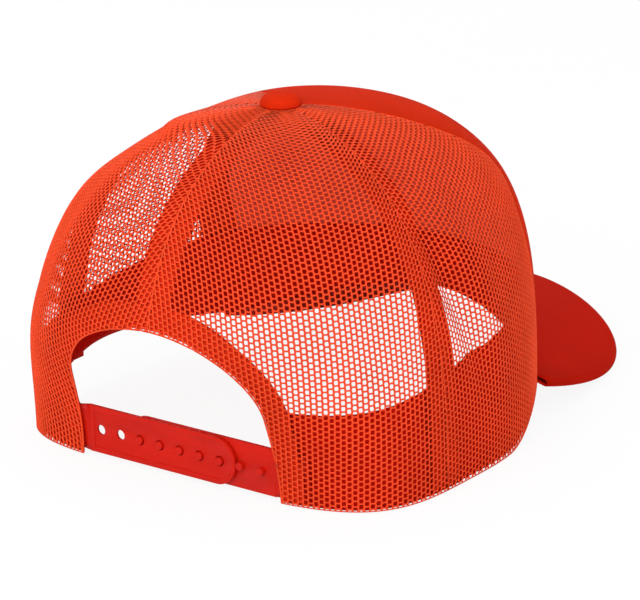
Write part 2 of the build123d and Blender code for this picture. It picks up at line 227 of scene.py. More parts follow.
SHAPE = CrownShape(
    dents=(
        Dent(-94.5, 68.0, 4.5, 27.0, 3.4, -0.2),
        Dent(-84.0, 76.0, 6.5, 30.0, -1.7, -0.1),
        Dent(-112.0, 92.0, 5.5, 32.0, -2.2, -0.04),
        Dent(-122.0, 74.0, 7.0, 30.0, 1.2),
        Dent(128.0, 119.5, 26.0, 3.5, -7.0),
        Dent(118.0, 107.0, 14.0, 8.0, 1.8),
        Dent(-52.0, 102.0, 14.0, 16.0, -1.3),
        Dent(118.0, 96.0, 9.0, 22.0, -1.6),
        Dent(132.0, 84.0, 6.0, 26.0, 1.3, -0.1),
        Dent(146.0, 70.0, 9.0, 30.0, 1.0),
        Dent(-160.0, 84.0, 9.0, 24.0, 1.0),
        Dent(176.0, 92.0, 8.0, 26.0, -0.8),
        Dent(80.0, 60.0, 9.0, 30.0, 1.2, 0.1),
        Dent(24.0, 70.0, 10.0, 30.0, 0.9),
        Dent(-22.0, 80.0, 10.0, 30.0, 0.8),
    )
)


class Body(Enum):
    """Rigid bodies of the frame."""

    CROWN = "crown"
    HOLE_STRAP = "hole_strap"
    PEG_STRAP = "peg_strap"


class Hold(Enum):
    """How a piece of cloth is held."""

    STRETCHED = "stretched"
    FOLDED = "folded"
    LAID = "laid"


# ---------------------------------------------------------------- finishes
class Recipe:
    """Node tree of one finish, with its shader and short ways to add nodes."""

    def __init__(self, name: str) -> None:
        """Start an empty tree that ends in one shader."""
        self.material = bpy.data.materials.new(name)
        self.material.use_nodes = True
        self.tree = self.material.node_tree
        self.tree.nodes.clear()
        self.shader = self.add("ShaderNodeBsdfPrincipled")
        output = self.add("ShaderNodeOutputMaterial")
        self.tree.links.new(self.shader.outputs[0], output.inputs["Surface"])

    def add(self, kind: str, **values: object) -> bpy.types.Node:
        """Add a node.

        Args:
            kind: Node type.
            **values: Node properties by their own name, and input values by the socket's name
                in lower case with underscores.

        Returns:
            The node.
        """
        node = self.tree.nodes.new(kind)
        sockets = {socket.name.lower().replace(" ", "_"): socket for socket in node.inputs}
        for name, value in values.items():
            if name in sockets:
                sockets[name].default_value = value
            else:
                setattr(node, name, value)
        return node

    def join(self, source: bpy.types.NodeSocket, target: bpy.types.NodeSocket) -> None:
        """Link two sockets."""
        self.tree.links.new(source, target)

    def place(self, on_surface: bool, scale: Sequence[float] = (1, 1, 1),
              turn: float = 0.0) -> bpy.types.NodeSocket:
        """Coordinates of the pattern, in metres: the piece's own UV map, or its Object coordinates."""
        source = self.add("ShaderNodeTexCoord")
        mapping = self.add("ShaderNodeMapping")
        mapping.inputs["Scale"].default_value = scale
        mapping.inputs["Rotation"].default_value = (0, 0, radians(turn))
        self.join(source.outputs["UV" if on_surface else "Object"], mapping.inputs["Vector"])
        return mapping.outputs["Vector"]

    def noise(self, where: bpy.types.NodeSocket, scale: float, detail: float = 3.0) -> bpy.types.NodeSocket:
        """Noise of a given count of features to the metre."""
        node = self.add("ShaderNodeTexNoise", scale=scale, detail=detail, roughness=0.55)
        self.join(where, node.inputs["Vector"])
        return node.outputs["Fac"]

    def wave(self, where: bpy.types.NodeSocket, pitch: float, direction: str,
             wobble: float) -> bpy.types.NodeSocket:
        """Sine ridges at a pitch, running along a direction."""
        node = self.add("ShaderNodeTexWave", wave_type="BANDS", bands_direction=direction,
                        scale=2 * pi / 20 / (pitch * MM), distortion=wobble, detail=1.0)
        self.join(where, node.inputs["Vector"])
        return node.outputs["Fac"]

    def sum(self, operation: str, first: bpy.types.NodeSocket,
            second: bpy.types.NodeSocket | float) -> bpy.types.NodeSocket:
        """One arithmetic step on two values."""
        node = self.add("ShaderNodeMath", operation=operation)
        self.join(first, node.inputs[0])
        if isinstance(second, (int, float)):
            node.inputs[1].default_value = second
        else:
            self.join(second, node.inputs[1])
        return node.outputs[0]

    def tint(self, share: bpy.types.NodeSocket, dark: Sequence[float], light: Sequence[float],
             low: float = 0.25, high: float = 0.75) -> bpy.types.NodeSocket:
        """Colour between two others.

        Args:
            share: The value that chooses the colour.
            dark: Colour at the low value.
            light: Colour at the high value.
            low: Value at which the dark colour ends.
            high: Value at which the light colour starts.

        Returns:
            The colour's socket.
        """
        ramp = self.add("ShaderNodeValToRGB")
        ramp.color_ramp.elements[0].position = low
        ramp.color_ramp.elements[1].position = high
        ramp.color_ramp.elements[0].color = (*dark, 1)
        ramp.color_ramp.elements[1].color = (*light, 1)
        self.join(share, ramp.inputs[0])
        return ramp.outputs[0]

    def roughen(self, share: bpy.types.NodeSocket, low: float, high: float) -> None:
        """Drive the roughness from a value."""
        span = self.add("ShaderNodeMapRange")
        span.inputs["To Min"].default_value = low
        span.inputs["To Max"].default_value = high
        self.join(share, span.inputs["Value"])
        self.join(span.outputs[0], self.shader.inputs["Roughness"])

    def relief(self, height: bpy.types.NodeSocket, depth: float, strength: float = 1.0) -> None:
        """Raise the surface in light by a height pattern of a given depth."""
        bump = self.add("ShaderNodeBump", strength=strength, distance=depth * MM)
        self.join(height, bump.inputs["Height"])
        self.join(bump.outputs[0], self.shader.inputs["Normal"])


def linear(red: int, green: int, blue: int) -> tuple[float, float, float]:
    """Scene colour of a display colour."""
    parts = (part / 255 for part in (red, green, blue))
    return tuple(p / 12.92 if p <= 0.04045 else ((p + 0.055) / 1.055) ** 2.4 for p in parts)


def shade(colour: Sequence[float], factor: float) -> tuple[float, float, float]:
    """Colour made darker or lighter."""
    return tuple(min(1.0, part * factor) for part in colour)


@dataclass(frozen=True)
class Cloth:
    """Woven or knitted cloth: yarn ridges, painted shade between them, fibre fuzz and a slow colour drift."""

    name: str
    colour: tuple[float, float, float]
    warp: float
    weft: float
    depth: float
    rough: float = 0.75
    # Share by which the colour swings, both for the painted shade between the ridges and for the slow random
    # drift.
    drift: float = 0.08
    turn: float = 0.0

    def material(self) -> bpy.types.Material:
        """Build the finish."""
        recipe = Recipe(self.name)
        where = recipe.place(True, turn=self.turn)
        solid = recipe.place(False)
        ridges = recipe.sum("MULTIPLY", recipe.wave(where, self.warp, "X", 0.4),
                            recipe.wave(where, self.weft, "Y", 0.4))
        fuzz = recipe.noise(solid, 2600, 2)
        blotch = recipe.noise(solid, 45, 4)
        height = recipe.sum("ADD", ridges, recipe.sum("MULTIPLY", fuzz, 0.5))
        # Colour is darker in the hollows between the yarn ridges and lighter on them: painted shade, mixed
        # with a slow random colour drift.
        tone_and_hollow_shade = recipe.sum("ADD", recipe.sum("MULTIPLY", ridges, 0.35), recipe.sum("MULTIPLY", blotch, 0.75))
        colour = recipe.tint(tone_and_hollow_shade, shade(self.colour, 1 - 2 * self.drift), shade(self.colour, 1 + self.drift))
        recipe.join(colour, recipe.shader.inputs["Base Color"])
        recipe.roughen(fuzz, self.rough - 0.08, self.rough + 0.12)
        recipe.relief(height, self.depth)
        recipe.shader.inputs["Specular IOR Level"].default_value = 0.02
        return recipe.material


@dataclass(frozen=True)
class Yarn:
    """Polyester yarn of the netting and the stitches: twisted strands with a faint shine."""

    name: str
    colour: tuple[float, float, float]
    strand: float
    depth: float
    rough: float = 0.5

    def material(self) -> bpy.types.Material:
        """Build the finish."""
        recipe = Recipe(self.name)
        solid = recipe.place(False)
        strands = recipe.wave(recipe.place(True, turn=32), self.strand, "DIAGONAL", 1.5)
        fuzz = recipe.noise(solid, 3200, 2)
        blotch = recipe.noise(solid, 60, 4)
        # Colour is darker in the grooves between the twisted strands: painted shade, mixed with a random
        # colour drift.
        tone_and_hollow_shade = recipe.sum("ADD", recipe.sum("MULTIPLY", strands, 0.3), recipe.sum("MULTIPLY", blotch, 0.8))
        colour = recipe.tint(tone_and_hollow_shade, shade(self.colour, 0.86), shade(self.colour, 1.08))
        recipe.join(colour, recipe.shader.inputs["Base Color"])
        recipe.roughen(fuzz, self.rough - 0.05, self.rough + 0.15)
        recipe.relief(recipe.sum("ADD", strands, fuzz), self.depth)
        recipe.shader.inputs["Specular IOR Level"].default_value = 0.06
        return recipe.material


@dataclass(frozen=True)
class Foam:
    """Open foam: fine pores with painted shade in them, and a slow colour drift."""

    name: str
    colour: tuple[float, float, float]
    pores: float
    depth: float

    def material(self) -> bpy.types.Material:
        """Build the finish."""
        recipe = Recipe(self.name)
        solid = recipe.place(False)
        cells = recipe.add("ShaderNodeTexVoronoi", scale=self.pores)
        recipe.join(solid, cells.inputs["Vector"])
        blotch = recipe.noise(solid, 50, 3)
        # Colour is darker in the pores, which the bump also sinks: painted shade, mixed with a slow colour
        # drift.
        tone_and_hollow_shade = recipe.sum("ADD", recipe.sum("MULTIPLY", cells.outputs["Distance"], 0.5),
                          recipe.sum("MULTIPLY", blotch, 0.6))
        colour = recipe.tint(tone_and_hollow_shade, shade(self.colour, 0.8), shade(self.colour, 1.08), 0.2, 0.7)
        recipe.join(colour, recipe.shader.inputs["Base Color"])
        recipe.roughen(blotch, 0.85, 0.98)
        recipe.relief(cells.outputs["Distance"], self.depth)
        return recipe.material


@dataclass(frozen=True)
class Moulded:
    """Moulded plastic: satin skin, faint flow marks and rubbed patches."""

    name: str
    colour: tuple[float, float, float]
    rough: float = 0.38
    grain: float = 900.0
    depth: float = 0.03

    def material(self) -> bpy.types.Material:
        """Build the finish."""
        recipe = Recipe(self.name)
        solid = recipe.place(False)
        skin = recipe.noise(solid, self.grain, 3)
        flow = recipe.noise(recipe.place(False, scale=(1, 1, 4)), 70, 4)
        colour = recipe.tint(flow, shade(self.colour, 0.9), shade(self.colour, 1.07), 0.3, 0.7)
        recipe.join(colour, recipe.shader.inputs["Base Color"])
        recipe.roughen(flow, self.rough - 0.06, self.rough + 0.12)
        recipe.relief(skin, self.depth)
        recipe.shader.inputs["Specular IOR Level"].default_value = 0.12
        return recipe.material


@dataclass(frozen=True)
class Metal:
    """Pressed sheet metal: fine brushing and dull spots."""

    name: str
    colour: tuple[float, float, float]
    rough: float = 0.35

    def material(self) -> bpy.types.Material:
        """Build the finish."""
        recipe = Recipe(self.name)
        brushed = recipe.noise(recipe.place(False, scale=(1, 1, 12)), 700, 3)
        spots = recipe.noise(recipe.place(False), 240, 3)
        colour = recipe.tint(spots, shade(self.colour, 0.82), self.colour)
        recipe.join(colour, recipe.shader.inputs["Base Color"])
        recipe.roughen(brushed, self.rough - 0.1, self.rough + 0.15)
        recipe.relief(brushed, 0.02)
        recipe.shader.inputs["Metallic"].default_value = 1.0
        return recipe.material


NET_RED = linear(241, 76, 38)
FRONT_RED = linear(210, 42, 8)
BILL_RED = linear(192, 24, 4)
STRAP_RED = linear(198, 24, 8)


# ---------------------------------------------------------------- making pieces
def finish_piece(
    mesh: bmesh.types.BMesh,
    name: str,
    material: bpy.types.Material,
    replaced: Sequence[str] = (),
    body: Body | None = Body.CROWN,
) -> bpy.types.Object:
    """Turn a mesh in millimetres into a finished piece of the cap.

    Args:
        mesh: The shape, which is freed.
        name: Name of the piece.
        material: Its finish.
        replaced: Frame nodes that it stands for.
        body: Body that it rides on, or None to attach it to no body.

    Returns:
        The new object.
    """
    bmesh.ops.scale(mesh, vec=(MM, MM, MM), verts=mesh.verts)
    for face in mesh.faces:
        face.smooth = True
    data = bpy.data.meshes.new(name)
    mesh.to_mesh(data)
    mesh.free()
    piece = bpy.data.objects.new(name, data)
    bpy.context.scene.collection.objects.link(piece)
    data.materials.append(material)
    if replaced:
        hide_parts(*replaced)
    if body:
        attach(piece, body.value)
    LOG.info("%s: %d faces", name, len(data.polygons))
    return piece


def set_places(mesh: bmesh.types.BMesh, places: np.ndarray) -> None:
    """Move every point of a mesh, in order."""
    for vert, place in zip(mesh.verts, places):
        vert.co = place


def read_places(mesh: bmesh.types.BMesh) -> np.ndarray:
    """Places of every point of a mesh, in order."""
    return np.array([vert.co for vert in mesh.verts], float).reshape(-1, 3)


def keep_flat_map(mesh: bmesh.types.BMesh, flat: np.ndarray) -> None:
    """Store each point's place on the flat cloth, given in millimetres, as the UV map in metres."""
    layer = mesh.loops.layers.uv.verify()
    mesh.verts.index_update()
    for face in mesh.faces:
        for loop in face.loops:
            spot = flat[loop.vert.index]
            loop[layer].uv = (spot[0] * MM, spot[1] * MM)


def cloth_mesh(
    columns: int,
    rows: int,
    place: Callable[[np.ndarray, np.ndarray], np.ndarray],
    size: tuple[float, float],
    thick: float,
) -> bmesh.types.BMesh:
    """Sheet of cloth with a real thickness.

    Args:
        columns: Faces across.
        rows: Faces along.
        place: Gives the points of the sheet's outer face from two shares between 0 and 1.
        size: Width and length of the flat cloth.
        thick: Thickness, laid on the side away from the face's normal.

    Returns:
        The closed mesh, in millimetres.
    """
    mesh = bmesh.new()
    bmesh.ops.create_grid(mesh, x_segments=columns, y_segments=rows, size=0.5)
    shares = read_places(mesh)[:, :2] + 0.5
    set_places(mesh, place(shares[:, 0], shares[:, 1]))
    keep_flat_map(mesh, shares * np.array(size))
    bmesh.ops.remove_doubles(mesh, verts=mesh.verts, dist=0.01)
    bmesh.ops.recalc_face_normals(mesh, faces=mesh.faces)
    bmesh.ops.solidify(mesh, geom=mesh.faces[:] + mesh.edges[:] + mesh.verts[:], thickness=thick)
    bmesh.ops.recalc_face_normals(mesh, faces=mesh.faces)
    return mesh


def lookup(table: np.ndarray, rows: np.ndarray, columns: np.ndarray, row: np.ndarray,
           column: np.ndarray) -> np.ndarray:
    """Value of a table between its rows and columns."""
    i = np.clip(np.searchsorted(rows, row) - 1, 0, len(rows) - 2)
    j = np.clip(np.searchsorted(columns, column) - 1, 0, len(columns) - 2)
    down = np.clip((row - rows[i]) / (rows[i + 1] - rows[i]), 0, 1)
    over = np.clip((column - columns[j]) / (columns[j + 1] - columns[j]), 0, 1)
    near = table[i, j] * (1 - over) + table[i, j + 1] * over
    far = table[i + 1, j] * (1 - over) + table[i + 1, j + 1] * over
    return near * (1 - down) + far * down


class Unrolled:
    """Part of the crown laid flat: distance across and along the grain, to bearing and height."""

    def __init__(self, shape: CrownShape, grain: float, inset: float) -> None:
        """Measure the surface.

        Args:
            shape: The crown.
            grain: Bearing of the grain line, in degrees.
            inset: Depth of the layer under the outer surface.
        """
        reach = 85
        self.shape = shape
        self.inset = inset
        self.bearings = np.radians(np.linspace(grain - reach, grain + reach, 4 * reach + 1))
        rise = 1 - (1 - np.linspace(0, 0.985, 180)) ** 2
        self.heights = rise * (shape.top - inset)
        turn, height = np.meshgrid(self.bearings, self.heights)
        spots = shape.point(turn, height, inset)
        steps = np.linalg.norm(np.diff(spots, axis=1), axis=2)
        run = np.concatenate([np.zeros((len(rise), 1)), np.cumsum(steps, axis=1)], axis=1)
        middle = len(self.bearings) // 2
        self.across = run - run[:, middle : middle + 1]
        climb = np.linalg.norm(np.diff(spots[:, middle], axis=0), axis=1)
        self.along = np.concatenate([[0.0], np.cumsum(climb)])
        self.widths = np.linspace(-150, 150, 601)
        self.turns = np.stack([np.interp(self.widths, row, self.bearings) for row in self.across])

    def to_crown(self, flat: np.ndarray) -> tuple[np.ndarray, np.ndarray]:
        """Bearings and heights of places on the flat cloth."""
        height = np.interp(flat[:, 1], self.along, self.heights)
        return lookup(self.turns, self.heights, self.widths, height, flat[:, 0]), height

    def to_flat(self, bearing: np.ndarray, height: np.ndarray) -> np.ndarray:
        """Places on the flat cloth of bearings and heights."""
        across = lookup(self.across, self.heights, self.bearings, height, bearing)
        return np.stack([across, np.interp(height, self.heights, self.along)], axis=1)


@dataclass(frozen=True)
class Netting:
    """Knitted net with staggered holes, and how it is cut for one panel."""

    column: float = 2.05
    row: float = 2.15
    post: float = 0.82
    bar: float = 0.66
    thick: float = 0.62
    pull: float = 0.1

    def share(self) -> float:
        """Surface of the threads over twice the area of the cloth: both faces and the holes' walls."""
        wide, tall = self.column - self.post, self.row - self.bar
        cell = self.column * self.row
        return (2 * (cell - wide * tall) + 2 * (wide + tall) * self.thick) / (2 * cell)

    def flat_net(self, width: tuple[float, float], length: float) -> bmesh.types.BMesh:
        """Lattice of whole cells, with every second bar taken out.

        Args:
            width: Where the cloth starts and ends across the grain.
            length: How far it runs along the grain.

        Returns:
            The flat mesh, in millimetres, with one face for each hole.
        """
        first = int(width[0] // self.column)
        columns = ceil(width[1] / self.column) - first
        rows = ceil(length / (self.row / 2)) + 2
        mesh = bmesh.new()
        bmesh.ops.create_grid(mesh, x_segments=columns, y_segments=rows, size=0.5)
        half = self.row / 2
        spare = []
        for edge in mesh.edges:
            ends = [vert.co for vert in edge.verts]
            if abs(ends[0].x - ends[1].x) < 0.5 / columns:
                continue
            across = round((min(end.x for end in ends) + 0.5) * columns)
            along = round((ends[0].y + 0.5) * rows)
            if (across + along) % 2 and not edge.is_boundary:
                spare.append(edge)
        places = read_places(mesh)
        across = np.rint((places[:, 0] + 0.5) * columns)
        along = np.rint((places[:, 1] + 0.5) * rows)
        swing = np.where((across + along) % 2 == 0, 1, -1) * self.pull
        set_places(mesh, np.stack([(across + first) * self.column + swing, along * half, 0 * along], axis=1))
        bmesh.ops.dissolve_edges(mesh, edges=spare, use_verts=False)
        return mesh

    def panel(self, shape: CrownShape, first: float, last: float, grain: float) -> bmesh.types.BMesh:
        """Netting of one panel, cut at its seams, the rim and the rear arch.

        Args:
            shape: The crown.
            first: Bearing of one seam, in degrees.
            last: Bearing of the other seam.
            grain: Bearing that the columns follow.

        Returns:
            The closed mesh of the threads, in millimetres.
        """
        middle = self.thick / 2
        cloth = Unrolled(shape, grain, middle)
        low, high = radians(first), radians(last)
        turn, height = np.meshgrid(np.linspace(low, high, 60), cloth.heights)
        spread = cloth.to_flat(turn.ravel(), height.ravel())[:, 0]
        mesh = self.flat_net((spread.min() - 3, spread.max() + 3), cloth.along[-1])
        bearing, height = cloth.to_crown(read_places(mesh))
        rim = shape.rim(bearing, middle) + 0.2
        spots = shape.point(bearing, height, middle)
        half = shape.arch_half(height)
        in_arch = (spots[:, 1] > 0) & (np.abs(spots[:, 0]) < half) & (height < shape.arch_height)
        low, high = shape.seam(first, height), shape.seam(last, height)
        outside = (bearing < low) | (bearing > high) | (height < rim) | in_arch
        mesh.verts.index_update()
        gone = [face for face in mesh.faces if all(outside[vert.index] for vert in face.verts)]
        bearing = np.clip(bearing, low, high)
        height = np.maximum(height, shape.rim(bearing, middle) + 0.2)
        bearing, height = self.clear_arch(shape, bearing, height, in_arch, middle)
        flat = cloth.to_flat(bearing, height)
        squeeze = self.bar / self.post
        set_places(mesh, np.stack([flat[:, 0] * squeeze, flat[:, 1], 0 * height], axis=1))
        bmesh.ops.delete(mesh, geom=gone, context="FACES")
        bmesh.ops.remove_doubles(mesh, verts=mesh.verts, dist=0.25)
        bmesh.ops.dissolve_degenerate(mesh, edges=mesh.edges, dist=0.05)
        bmesh.ops.wireframe(mesh, faces=mesh.faces, thickness=self.bar, offset=0, use_replace=True,
                            use_boundary=True, use_even_offset=True)
        threads = read_places(mesh)
        threads[:, 0] /= squeeze
        bearing, height = cloth.to_crown(threads)
        keep_flat_map(mesh, threads)
        depth = middle - threads[:, 2] * self.thick / self.bar
        set_places(mesh, shape.point(bearing, np.maximum(height, 0.1), depth))
        bmesh.ops.recalc_face_normals(mesh, faces=mesh.faces)
        return mesh

    @staticmethod
    def clear_arch(shape: CrownShape, bearing: np.ndarray, height: np.ndarray, inside: np.ndarray,
                   inset: float) -> tuple[np.ndarray, np.ndarray]:
        """Move points that lie in the rear arch to its nearest edge.

        Args:
            shape: The crown.
            bearing: Bearings in radians.
            height: Heights.
            inside: Which points lie in the arch.
            inset: Depth of the layer.

        Returns:
            The new bearings and heights.
        """
        bearing, height = bearing.copy(), height.copy()
        for i in np.flatnonzero(inside):
            spot = shape.point(bearing[i : i + 1], height[i : i + 1], inset)[0]
            side = float(shape.arch_half(height[i])) - abs(spot[0])
            above = float(shape.arch_top(spot[0])) - height[i]
            if above < side and abs(spot[0]) < shape.arch_shoulder - 0.5:
                height[i] += above
            else:
                width = float(shape.arch_half(height[i]))
                turn = shape.bearing_at(width if spot[0] >= 0 else -width, height[i], inset)
                bearing[i] = turn if abs(turn - bearing[i]) < pi else turn + 2 * pi * np.sign(bearing[i])
        return bearing, height


@dataclass
class Crown:
    """Panels, lining, tapes and sweatband of the crown."""

    shape: CrownShape = SHAPE
    netting: Netting = field(default_factory=Netting)
    front_seam: float = 52.0
    side_seam: float = 104.0
    rear_seam: float = 180.0
    rear_grain: float = 126.0
    side_grain: float = 80.0
    fabric: float = 0.8
    foam: float = 1.9
    foam_short: float = 4.6
    foam_top: float = 0.98
    tape_width: float = 15.0
    tape_depth: float = 0.95
    tape_thick: float = 0.6
    hem: float = 9.0
    band_depth: float = 2.85
    bill_depth: float = 3.2
    band_thick: float = 1.3
    band_end: float = 48.0
    band_lift: float = 0.95
    band_turn_out: float = 2.1
    band_turn_height: float = 1.6
    band_turn_run: float = 8.0
    top_share: float = 0.9998

    def build(self) -> None:
        """Make every piece of the crown."""
        net = Yarn("net_yarn", NET_RED, 0.22, 0.06).material()
        front = Cloth("front_cloth", FRONT_RED, 0.42, 0.42, 0.05).material()
        lining = Foam("front_foam_lining", linear(244, 96, 72), 900, 0.15).material()
        binding = Cloth("seam_binding", linear(226, 50, 22), 0.7, 0.5, 0.1).material()
        band = Cloth("sweatband_twill", linear(206, 24, 10), 0.55, 0.5, 0.08, turn=45).material()
        self.build_nets(net)
        self.build_front(front, lining)
        self.build_tapes(binding)
        self.build_arch_hem(binding)
        self.build_band(band)

    def build_nets(self, material: bpy.types.Material) -> None:
        """Make the net panels of the sides and the rear."""
        for side, word in ((1, "left"), (-1, "right")):
            for first, last, grain, place in (
                (self.front_seam, self.side_seam, self.side_grain, "side"),
                (self.side_seam, self.rear_seam, self.rear_grain, "rear"),
            ):
                bounds = sorted((side * first, side * last))
                mesh = self.netting.panel(self.shape, bounds[0], bounds[1], side * grain)
                node = f"{word}_{place}_panel"
                piece = finish_piece(mesh, f"{node}_net", material, [node])
                self.declare_net(side * first, side * last)

    def declare_net(self, first: float, last: float) -> None:
        """Work out the size of cloth one net panel is cut from, counted without its holes; nothing is done
        with it.

        The area comes from the panel's outline on the crown and the netting's cell, not from the mesh.

        Args:
            first: Bearing of its front seam, in degrees.
            last: Bearing of its rear seam.
        """
        u, v = np.meshgrid(np.linspace(0, 1, 80), np.linspace(0, 1, 160))
        turn = np.radians(first + (last - first) * u)
        bottom = self.shape.rim(turn)
        height = bottom + (self.shape.top * self.top_share - bottom) * (1 - (1 - v) ** 2)
        spots = self.shape.point(turn, height, self.netting.thick / 2)
        wide, tall = np.diff(spots, axis=1)[:-1], np.diff(spots, axis=0)[:, :-1]
        areas = np.linalg.norm(np.cross(wide, tall), axis=2)
        middle = spots[:-1, :-1]
        arch = (middle[..., 1] > 0) & (np.abs(middle[..., 0]) < self.shape.arch_half(middle[..., 2]))
        arch &= middle[..., 2] < self.shape.arch_height
        area = float(areas[~arch].sum()) * self.netting.share() * MM * MM

    def layer(self, u: np.ndarray, v: np.ndarray, first: float, last: float, inset: float | np.ndarray,
              lift: float = 0.0) -> np.ndarray:
        """Points of a layer between two bearings, from the lower edge to the top.

        Args:
            u: Shares across.
            v: Shares up.
            first: First bearing in degrees.
            last: Last bearing in degrees.
            inset: Depth of the layer.
            lift: Distance that its lower edge stays above the rim.

        Returns:
            One point for each pair of shares.
        """
        bearing = np.radians(first + (last - first) * u)
        bottom = self.shape.rim(bearing, 0.0) + lift
        top = (self.shape.top - inset) * self.top_share
        height = bottom + (top - bottom) * (1 - (1 - v) ** 2)
        pulled = np.where(bearing > 0, self.shape.seam(self.front_seam, height),
                          -self.shape.seam(-self.front_seam, height))
        bearing = bearing * pulled / radians(self.front_seam)
        return self.shape.point(bearing, height, inset)

    def build_front(self, material: bpy.types.Material, lining: bpy.types.Material) -> None:
        """Make the front panel and its foam lining."""
        limit = self.front_seam
        arc = 2 * radians(limit) * self.shape.side

        def outer(u: np.ndarray, v: np.ndarray) -> np.ndarray:
            """Outer face, with its side edges turned in."""
            share = (1 - np.cos(pi * u)) / 2
            edge = np.minimum(share, 1 - share) * arc
            return self.layer(share, v, -limit, limit, 0.9 * np.exp(-((edge / 1.3) ** 2)), -0.6)

        mesh = cloth_mesh(110, 90, outer, (arc, 150), self.fabric)
        piece = finish_piece(mesh, "front_panel_cloth", material, ["front_panel"])

        def inner(u: np.ndarray, v: np.ndarray) -> np.ndarray:
            """Outer face of the foam."""
            edge = limit - self.foam_short
            return self.layer(u, self.foam_top * v, -edge, edge, self.fabric + 0.1, 1.0)

        mesh = cloth_mesh(60, 60, inner, (arc * 0.9, 145), self.foam)
        piece = finish_piece(mesh, "front_foam_lining", lining, ["front_foam"])

    def build_tapes(self, material: bpy.types.Material) -> None:
        """Make the tapes behind the seams."""
        half_front = (self.side_seam - self.front_seam) / 2
        half_rear = (self.rear_seam - self.side_seam) / 2
        arch = self.shape.arch_height + self.hem - 1
        for name, bearing, before, after, start in (
            ("front_left_tape", self.front_seam, self.front_seam, half_front, 0.6),
            ("front_right_tape", -self.front_seam, half_front, self.front_seam, 0.6),
            ("side_left_tape", self.side_seam, half_front, half_rear, 0.6),
            ("side_right_tape", -self.side_seam, half_rear, half_front, 0.6),
            ("centre_back_tape", self.rear_seam, half_rear, half_rear, arch),
        ):

            def face(u: np.ndarray, v: np.ndarray) -> np.ndarray:
                """Outer face of the tape."""
                seam = np.full_like(u, radians(bearing))
                bottom = np.maximum(self.shape.rim(seam) + 0.6, start)
                top = (self.shape.top - self.tape_depth) * self.top_share
                height = bottom + (top - bottom) * (1 - (1 - v) ** 2)
                seam = self.shape.seam(bearing, height)
                out = self.shape.radius(seam, height, self.tape_depth)
                turn = (u - 0.5) * self.tape_width / np.maximum(out, 1)
                turn = np.clip(turn, -radians(before - 1), radians(after - 1))
                return self.shape.point(seam + turn, height, self.tape_depth)

            length = 160.0 if start < 1 else 100.0
            mesh = cloth_mesh(8, 70, face, (self.tape_width, length), self.tape_thick)
            piece = finish_piece(mesh, f"{name}_strip", material, [name])

    def arch_spot(self, share: float, grow: float) -> tuple[float, float]:
        """Place on the arch's outline.

        Args:
            share: Share of the way from the left foot to the right one.
            grow: How much larger the outline is all round.

        Returns:
            The place across and the height.
        """
        legs = self.shape.arch_leg
        rise = self.shape.arch_height - legs + grow
        shoulder = self.shape.arch_shoulder + grow
        bend = pi * (shoulder + rise) / 2
        run = share * (2 * legs + bend)
        if run < legs:
            return float(self.shape.arch_half(np.array(run), grow)), run
        if run > legs + bend:
            height = 2 * legs + bend - run
            return -float(self.shape.arch_half(np.array(height), grow)), height
        turn = pi * (run - legs) / bend
        return shoulder * cos(turn), legs + rise * sin(turn)

    def build_arch_hem(self, material: bpy.types.Material) -> None:
        """Make the binding behind the hem of the rear arch."""

        def face(u: np.ndarray, v: np.ndarray) -> np.ndarray:
            """Outer face of the binding."""
            spots = []
            for share, over in zip(u, v):
                x, height = self.arch_spot(share, self.hem * over + 0.2)
                depth = self.tape_depth - 0.45 * np.exp(-((over * self.hem / 0.8) ** 2))
                turn = self.shape.bearing_at(x, height, depth)
                spots.append(self.shape.point(np.array([turn]), np.array([height + 0.4]), depth)[0])
            return np.array(spots)

        mesh = cloth_mesh(150, 12, face, (190, self.hem), self.tape_thick)
        piece = finish_piece(mesh, "arch_hem_binding", material, ["arch_tape"])

    def build_band(self, material: bpy.types.Material) -> None:
        """Make the sweatband, from one foot of the arch round the front to the other."""
        end = self.shape.bearing_at(self.band_end, 12.0, self.band_depth)

        def face(u: np.ndarray, v: np.ndarray) -> np.ndarray:
            """Outer face of the band, turned out to the rim, with faint puckers along its top."""
            turn = end * (1 - 2 * u)
            bottom = self.shape.rim(turn, self.band_depth, self.bill_depth) + self.band_lift
            spots = self.shape.point(turn, bottom, self.band_depth)
            height = bottom + (eased(spots[:, 1], self.shape.band_top) - bottom) * v
            pucker = 0.25 * np.sin(turn * 61) * np.sin(turn * 17 + 1) * v
            behind = np.clip((spots[:, 1] - self.shape.bill_corner) / self.band_turn_run, 0, 1)
            near_rim = np.exp(-(((height - bottom) / self.band_turn_height) ** 2))
            sewn = self.band_turn_out * behind * near_rim
            return self.shape.point(turn, height, self.band_depth + 0.2 + pucker - sewn)

        mesh = cloth_mesh(260, 14, face, (470, 38), self.band_thick)
        piece = finish_piece(mesh, "sweatband_cloth", material, ["sweatband"])


